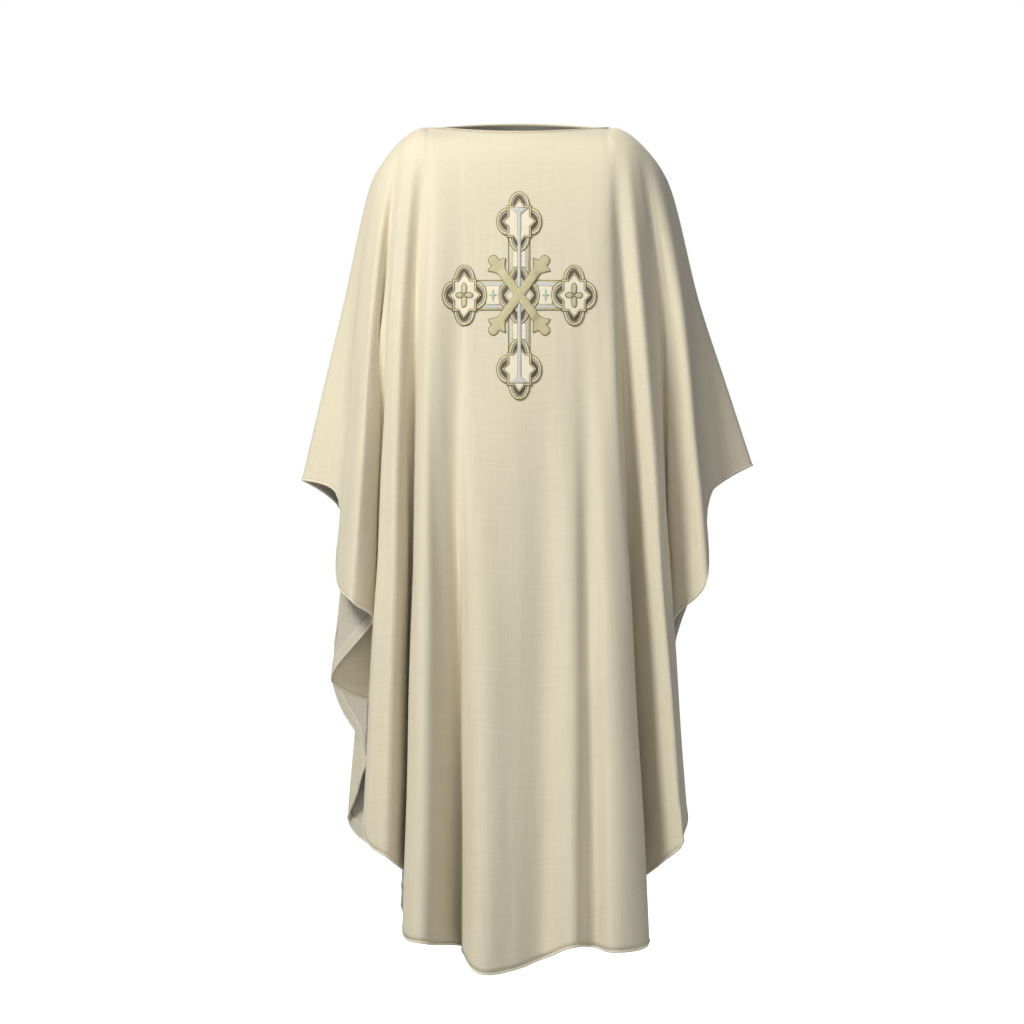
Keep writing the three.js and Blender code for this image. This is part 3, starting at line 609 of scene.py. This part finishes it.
# Laid out flat, x across and y up from the middle of the cross, then sewn to the cloth over the chest.
# Sizes in pairs are across and up.
EMBLEM_DROP = 0.272  # neck level to the middle of the cross
MEDALLION_SIDE = 0.084  # middle of the cross to the middle of a side medallion
MEDALLION_TOP = 0.114  # and to the middle of the top or bottom one
FRAME = (0.0185, 0.0245)  # half sizes of the rectangle that a medallion's lobes stand out from
FRAME_LOBES = (0.016, 0.022)  # how far the lobes stand out
LOBE_SHARE = 0.86  # of a side of the rectangle that its lobe takes up
BORDER = 0.006  # width of a medallion's border
GOLD_SHARE = 0.6  # of a border, with a pale grey band inside it
STAR_POINTS = (0.008, 0.011)  # how far a star's points stand out of the same rectangle
STAR_SHOULDER = 0.8  # half the width of the upper and lower points at their foot, as a share of their height
STAR_BAND = 0.003
UPRIGHT = 0.033  # widths of the arms
CROSSBAR = 0.046
ARM_EDGE = 0.0024  # gold edge of the arms
ARM_PAST = 0.016  # added to the length of an arm's grey filling, which runs under the borders
WINDOW_PAST = 0.002  # the same for the windows in the arms
WINDOW_MARGIN = 0.0065  # from the edges of an upright arm to its window
SIDE_WINDOW_MARGIN = 0.0085
CANVAS_INSET = 0.0015
GROUND_PAST = 0.0004  # how far the dark ground runs under a border
RING = (0.01705, 0.0242)  # as FRAME, for the ring in the middle
RING_LOBES = (0.01395, 0.0198)
RING_BAND = 0.005
LOZENGE = (0.0225, 0.031)  # half sizes
LOZENGE_EDGE = 0.0035
LOZENGE_INSET = 0.003  # of its filling, which runs under the edge
SALTIRE = (0.044, 0.060)  # half sizes
SALTIRE_WIDTH = 0.013
SALTIRE_DROOP = 0.0032  # how far it comes down past the edge of the cross
PAST_CROSS_RUN = 0.008  # how far past the cross a filling has come down by the whole of its droop
STAFF = 0.0055  # width
STAFF_FOOT = 0.030  # width of its two splayed feet
STAFF_SPLAY = 0.010  # their height
PETAL = (0.0135, 0.019)  # reach of the petals
PETAL_WIDTH = 0.0085
PETAL_POINTS = 18
CROSSLET = (0.0065, 0.0105)  # half sizes
CROSSLET_WIDEST = (0.003, 0.006)  # how far out along its bars they are widest
CROSSLET_WIDTH = (0.0012, 0.0018)  # half width of a bar, in the middle and at its widest
OUTLINE = 0.0006  # radius of the thin couched cords
SALTIRE_OUTLINE = 0.0005
STAFF_OUTLINE = 0.0003
ARC_STEPS = 12
FILL_STEP = 0.0026  # between the points inside a filling
ROUNDED = 0.0018  # width of a filling's rounded edge
EDGE_HEIGHT = 0.35  # of a filling at its outline, as a share of its thickness
SKIRT = 0.0004  # how far a filling's side goes on below it
# How high each layer lies over the cloth, and how thick it is.
LAYER = {
    "canvas": (0.0, 0.0004),
    "cross": (0.0004, 0.0004),
    "arm": (0.0008, 0.0003),
    "ground": (0.0010, 0.0003),
    "window": (0.0012, 0.0003),
    "border": (0.0013, 0.0009),
    "band": (0.0013, 0.0005),
    "lozenge": (0.0014, 0.0003),
    "lozenge_edge": (0.0016, 0.0004),
    "crosslet": (0.0016, 0.0005),
    "star": (0.0021, 0.0003),
    "star_edge": (0.0023, 0.0006),
    "petal": (0.0024, 0.0007),
    "staff": (0.0029, 0.0007),
    "saltire": (0.0035, 0.0008),
}

cloth_under = BVHTree.FromPolygons(
    [tuple(p) for p in front["grid"].reshape(-1, 3)],
    grid_faces(*front["grid"].shape[:2]).tolist())


def on_cloth(x, y, lift):
    """The place over the front panel at (x, y) of the emblem, lift above the cloth, and the way out."""
    place, normal, _, _ = cloth_under.ray_cast(Vector((x, -1, y - EMBLEM_DROP)), Vector((0, 1, 0)))
    if normal.y > 0:
        normal = -normal
    return place + normal * (CLOTH / 2 + lift), normal


def arc(x, y, across, up, start):
    """A half ellipse, anticlockwise from start, in quarter turns."""
    angles = np.linspace(start, start + 2, ARC_STEPS + 1) * math.pi / 2
    return [(x + across * math.cos(a), y + up * math.sin(a)) for a in angles]


def lobed(half, lobes, inset=0.0, centre=(0.0, 0.0)):
    """A rectangle with a rounded lobe on each side, narrower than the side, all of it moved in by inset."""
    w, h = half[0] - inset, half[1] - inset
    lobe_w, lobe_h = half[0] * LOBE_SHARE - inset, half[1] * LOBE_SHARE - inset
    outline = [*arc(w, 0, lobes[0], lobe_h, -1), (w, h), *arc(0, h, lobe_w, lobes[1], 0), (-w, h)]
    outline += [*arc(-w, 0, lobes[0], lobe_h, 1), (-w, -h), *arc(0, -h, lobe_w, lobes[1], 2), (w, -h)]
    return [(x + centre[0], y + centre[1]) for x, y in outline]


def rectangle(width, height, x=0.0, y=0.0):
    w, h = width / 2, height / 2
    return [(x - w, y - h), (x + w, y - h), (x + w, y + h), (x - w, y + h)]


def star(inset, centre):
    """A medallion's rectangle with a point out of each side."""
    w, h = FRAME[0] - inset, FRAME[1] - inset
    side, end = STAR_POINTS
    quarter = [(w, side), (w, h), (STAR_SHOULDER * end, h), (0, h + end)]
    outline = [(w + side, 0), *quarter]
    outline += [(-x, y) for x, y in quarter[-2::-1]] + [(-w - side, 0)]
    outline += [(-x, -y) for x, y in quarter] + [(x, -y) for x, y in quarter[-2::-1]]
    return [(x + centre[0], y + centre[1]) for x, y in outline]


def lozenge(inset=0.0):
    w, h = LOZENGE[0] - inset, LOZENGE[1] - inset * LOZENGE[1] / LOZENGE[0]
    return [(w, 0), (0, h), (-w, 0), (0, -h)]


def quadratic(a, b, c, steps=5):
    """The points after a on the curve from a to c that b pulls towards itself."""
    t = np.linspace(0, 1, steps + 1)[1:, None]
    a, b, c = np.array(a), np.array(b), np.array(c)
    return [tuple(p) for p in (1 - t) ** 2 * a + 2 * t * (1 - t) * b + t**2 * c]


def leaf_bar(angle):
    """One bar of the saltire, from the middle out to its three leaves."""
    length, h = math.hypot(*SALTIRE), SALTIRE_WIDTH / 2
    # One side of the bar and its leaves, in shares of its length and half its width.
    side = [(0.6, 1), (0.68, 1.3), (0.78, 2.6), (0.83, 1.9), (0.82, 1.1), (1.0, 1.5), (1.0, 0)]
    side = [(length * u, h * v) for u, v in side]
    half = [side[0]] + quadratic(*side[:3]) + quadratic(*side[2:5]) + quadratic(*side[4:7])
    outline = [(0, -h)] + [(x, -y) for x, y in half] + half[-2::-1] + [(0, h)]
    turn = np.array([[math.cos(angle), math.sin(angle)], [-math.sin(angle), math.cos(angle)]])
    return [tuple(p) for p in np.array(outline) @ turn]


def petal(angle, reach, centre):
    """An oval from near the centre out to reach."""
    steps = np.linspace(0, 2 * math.pi, PETAL_POINTS, endpoint=False)
    middle, half = reach * 0.54, reach * 0.46
    u = middle + half * np.cos(steps)
    v = PETAL_WIDTH / 2 * np.sin(steps)
    c, s = math.cos(angle), math.sin(angle)
    return [(centre[0] + c * a - s * b, centre[1] + s * a + c * b) for a, b in zip(u, v)]


def crosslet_bar(reach, widest):
    """A pointed bar along x that is narrow in the middle and widest some way out."""
    narrow, wide = CROSSLET_WIDTH
    under = [(-reach, 0), (-widest, -wide), (0, -narrow), (widest, -wide)]
    return under + [(-x, -y) for x, y in under]


def past_cross(x, y):
    """0 over the arms and the ring of the cross, rising to 1 some way past their edges."""
    out = math.hypot(x / (RING[0] + RING_LOBES[0]), y / (RING[1] + RING_LOBES[1]))
    ring = (out - 1) * RING_LOBES[0] * 2
    away = max(min(abs(x) - UPRIGHT / 2, abs(y) - CROSSBAR / 2, ring) / PAST_CROSS_RUN, 0)
    return min(away, 1) ** 2 * (3 - 2 * min(away, 1))


def triangles(outlines, holes=()):
    """Points and triangles that fill the outlines together, without the holes, and their edge loops."""
    points, rings = [], []
    for outline in (*outlines, *holes):
        rings.append(list(range(len(points), len(points) + len(outline))))
        points += outline
    low, high = np.min(points, axis=0), np.max(points, axis=0)
    xs, ys = (np.arange(low[k] + FILL_STEP / 2, high[k], FILL_STEP) for k in (0, 1))
    points += [(x, y) for y in ys for x in xs]
    points = [Vector(p) for p in points]
    flat, _, faces, _, _, owners = geometry.delaunay_2d_cdt(points, [], rings, 0, 1e-6)
    kept = [face for face, owner in zip(faces, owners) if owner and max(owner) < len(outlines)]
    edges = {}
    for face in kept:
        for a, b in zip(face, face[1:] + face[:1]):
            edges[a] = edges.get(a, []) + [b]
    follow = {}
    for a, ends in edges.items():
        for b in ends:
            if a not in edges.get(b, []):
                follow.setdefault(a, []).append(b)
    loops = []
    while follow:
        start = next(iter(follow))
        loop = [start]
        while True:
            onward = follow[loop[-1]]
            after = onward.pop()
            if not onward:
                del follow[loop[-1]]
            if after == start:
                break
            loop.append(after)
        loops.append(loop)
    return np.array([tuple(p) for p in flat]), kept, loops


class Sewn:
    """One piece of the emblem, gathered from padded fills and couched cords, in metres above the cloth."""

    def __init__(self, name):
        self.name = name
        self.vertices, self.faces, self.uv, self.material_of, self.materials = [], [], [], [], []

    def add(self, vertices, faces, uv, material):
        if material not in self.materials:
            self.materials.append(material)
        first = len(self.vertices)
        self.vertices += vertices
        self.uv += uv
        self.faces += [[first + i for i in face] for face in faces]
        self.material_of += [self.materials.index(material)] * len(faces)

    def fill(self, outlines, material, lift, thickness, holes=(), edging=None, edging_radius=OUTLINE,
             droop=0.0):
        """A padded filling that rounds off towards its edges, with a skirt down to what lies under it.

        droop is how far it comes down where it reaches past the edge of the cross.
        """
        flat, faces, loops = triangles(outlines, holes)
        used = sorted({i for face in faces for i in face})
        index = {old: new for new, old in enumerate(used)}
        ends = [(flat[a], flat[b]) for loop in loops for a, b in zip(loop, loop[1:] + loop[:1])]
        ends = np.array(ends)
        along = ends[:, 1] - ends[:, 0]
        span = np.maximum((along**2).sum(axis=1), 1e-16)
        away = flat[used][:, None] - ends[None, :, 0]
        share = np.clip((away * along).sum(axis=2) / span, 0, 1)
        inside = np.linalg.norm(away - along * share[:, :, None], axis=2).min(axis=1)
        rise = EDGE_HEIGHT + (1 - EDGE_HEIGHT) * np.sqrt(np.clip(inside / ROUNDED, 0, 1))
        lifts = {i: lift - droop * past_cross(*flat[i]) for i in used}
        vertices = [on_cloth(*flat[i], lifts[i] + thickness * r)[0] for i, r in zip(used, rise)]
        uv = [tuple(flat[i]) for i in used]
        faces = [[index[i] for i in face] for face in faces]
        for loop in loops:
            first = len(vertices)
            vertices += [on_cloth(*flat[i], lifts[i] - SKIRT)[0] for i in loop]
            uv += [tuple(flat[i]) for i in loop]
            for k, i in enumerate(loop):
                after = (k + 1) % len(loop)
                faces.append([index[i], first + k, first + after, index[loop[after]]])
        self.add(vertices, faces, uv, material)
        if edging:
            for loop in loops:
                cord_lifts = [lifts[i] + thickness * 0.3 for i in loop]
                self.cord([tuple(flat[i]) for i in loop], edging, cord_lifts, edging_radius)

    def cord(self, loop, material, lifts, radius, sides=6):
        """A thin cord couched down along a closed loop."""
        places, normals = zip(*(on_cloth(x, y, lift) for (x, y), lift in zip(loop, lifts)))
        vertices, uv, run = [], [], 0.0
        for i, (place, normal) in enumerate(zip(places, normals)):
            tangent = (places[(i + 1) % len(places)] - places[i - 1]).normalized()
            across = tangent.cross(normal).normalized()
            for k in range(sides):
                a = 2 * math.pi * k / sides
                vertices.append(place + (across * math.cos(a) + normal * math.sin(a)) * radius)
                uv.append((run, radius * a))
            run += (places[(i + 1) % len(places)] - place).length
        count = len(loop)
        faces = []
        for i in range(count):
            here, there = i * sides, (i + 1) % count * sides
            for k in range(sides):
                after = (k + 1) % sides
                faces.append([here + k, here + after, there + after, there + k])
        self.add(vertices, faces, uv, material)

    def finish(self, slot, node):
        obj = new_object(self.name, self.vertices, self.faces, self.materials, self.uv, self.material_of)
        return own(obj, slot, node)


MEDALLIONS = {
    "top": (0.0, MEDALLION_TOP),
    "bottom": (0.0, -MEDALLION_TOP),
    "left": (-MEDALLION_SIDE, 0.0),
    "right": (MEDALLION_SIDE, 0.0),
}


def cross_outlines(inset):
    """The arms, the ring and the four medallions, which make up the cross together."""
    shapes = [rectangle(UPRIGHT - 2 * inset, 2 * MEDALLION_TOP)]
    shapes.append(rectangle(2 * MEDALLION_SIDE, CROSSBAR - 2 * inset))
    shapes.append(lobed(RING, RING_LOBES, inset))
    return shapes + [lobed(FRAME, FRAME_LOBES, inset, centre) for centre in MEDALLIONS.values()]


canvas = Sewn("emblem_canvas")
canvas.fill(cross_outlines(CANVAS_INSET), CANVAS, *LAYER["canvas"])
canvas.finish("cream_applique", "emblem_backing")

ground = Sewn("cross_base")
ground.fill(cross_outlines(0.0), GOLD, *LAYER["cross"], edging=BROWN)
ring_up = RING[1] + RING_LOBES[1]
ring_out = RING[0] + RING_LOBES[0]
lobed_up = FRAME[1] + FRAME_LOBES[1]
lobed_out = FRAME[0] + FRAME_LOBES[0]
arm_up = MEDALLION_TOP - lobed_up - ring_up
arm_out = MEDALLION_SIDE - lobed_out - ring_out
upper_middle = (MEDALLION_TOP - lobed_up + ring_up) / 2
side_middle = (MEDALLION_SIDE - lobed_out + ring_out) / 2
for sign in (-1, 1):
    upright = rectangle(UPRIGHT - 2 * ARM_EDGE, arm_up + ARM_PAST, 0, sign * upper_middle)
    crossbar = rectangle(arm_out + ARM_PAST, CROSSBAR - 2 * ARM_EDGE, sign * side_middle, 0)
    ground.fill([upright], SILVER, *LAYER["arm"])
    ground.fill([crossbar], SILVER, *LAYER["arm"])
for centre in MEDALLIONS.values():
    ground.fill([lobed(FRAME, FRAME_LOBES, BORDER - GROUND_PAST, centre)], OLIVE, *LAYER["ground"])
ground.fill([lobed(RING, RING_LOBES, RING_BAND - GROUND_PAST)], OLIVE, *LAYER["ground"])
ground.finish("olive_thread", "cross_ground")


def gold_and_grey(piece, half, lobes, width, centre=(0.0, 0.0)):
    """A gold border with a pale grey band inside it, each between two brown cords."""
    outer, between, inner = (lobed(half, lobes, width * k, centre) for k in (0.0, GOLD_SHARE, 1.0))
    piece.fill([outer], PALE_GOLD, *LAYER["border"], [between], BROWN)
    piece.fill([between], SILVER, *LAYER["band"], [inner], BROWN)


for name, centre in MEDALLIONS.items():
    border = Sewn(f"{name}_medallion")
    gold_and_grey(border, FRAME, FRAME_LOBES, BORDER, centre)
    border.finish("gold_thread", f"{name}_medallion_frame")
    points = Sewn(f"{name}_star")
    points.fill([star(STAR_BAND * 0.5, centre)], CANVAS, *LAYER["star"])
    points.fill([star(0.0, centre)], PALE_GOLD, *LAYER["star_edge"], [star(STAR_BAND, centre)], BROWN)
    points.finish("pale_gold_thread", f"{name}_star_frame")

for side, sign in (("left", -1), ("right", 1)):
    centre = (sign * MEDALLION_SIDE, 0.0)
    rosette = Sewn(f"{side}_flower")
    for quarter in range(4):
        outline = petal(quarter * math.pi / 2, PETAL[quarter % 2], centre)
        rosette.fill([outline], KHAKI, *LAYER["petal"], edging=OLIVE)
    rosette.finish("gold_thread", f"{side}_rosette")

for side, sign in (("upper", 1), ("lower", -1)):
    window = Sewn(f"{side}_window")
    outline = rectangle(UPRIGHT - 2 * WINDOW_MARGIN, arm_up + WINDOW_PAST, 0, sign * upper_middle)
    window.fill([outline], CANVAS, *LAYER["window"], edging=GOLD)
    window.finish("cream_applique", f"{side}_arm_window")
for side, sign in (("left", -1), ("right", 1)):
    middle = sign * side_middle
    window = Sewn(f"{side}_window")
    outline = rectangle(arm_out + WINDOW_PAST, CROSSBAR - 2 * SIDE_WINDOW_MARGIN, middle, 0)
    window.fill([outline], CANVAS, *LAYER["window"], edging=GOLD)
    window.finish("cream_applique", f"{side}_arm_window")
    crosslet = Sewn(f"{side}_crosslet")
    upright = [(middle - y, x) for x, y in crosslet_bar(CROSSLET[1], CROSSLET_WIDEST[1])]
    bar = [(middle + x, y) for x, y in crosslet_bar(CROSSLET[0], CROSSLET_WIDEST[0])]
    crosslet.fill([upright, bar], MINT, *LAYER["crosslet"])
    crosslet.finish("mint_thread", f"{side}_small_cross")

ring = Sewn("quatrefoil_ring")
gold_and_grey(ring, RING, RING_LOBES, RING_BAND)
ring.finish("gold_thread", "centre_ring")

diamond = Sewn("lozenge")
diamond.fill([lozenge(LOZENGE_INSET)], CANVAS, *LAYER["lozenge"])
diamond.fill([lozenge()], SILVER, *LAYER["lozenge_edge"], [lozenge(LOZENGE_EDGE)], GOLD)
diamond.finish("cream_applique", "centre_lozenge")

staff = Sewn("long_staff")
end, foot, half = MEDALLION_TOP + FRAME[1] - STAR_BAND, STAFF_FOOT / 2, STAFF / 2
outline = [(-foot, -end), (foot, -end), (half, -end + STAFF_SPLAY), (half, end - STAFF_SPLAY)]
outline += [(foot, end), (-foot, end), (-half, end - STAFF_SPLAY), (-half, -end + STAFF_SPLAY)]
staff.fill([outline], SILVER, *LAYER["staff"], edging=BROWN, edging_radius=STAFF_OUTLINE)
staff.finish("silver_thread", "staff")

saltire = Sewn("saltire_bars")
lean = math.atan2(SALTIRE[1], SALTIRE[0])
bars = [leaf_bar(angle) for angle in (lean, math.pi - lean, math.pi + lean, -lean)]
saltire.fill(bars, KHAKI, *LAYER["saltire"], edging=BROWN, edging_radius=SALTIRE_OUTLINE,
             droop=SALTIRE_DROOP)
saltire.finish("gold_thread", "saltire")
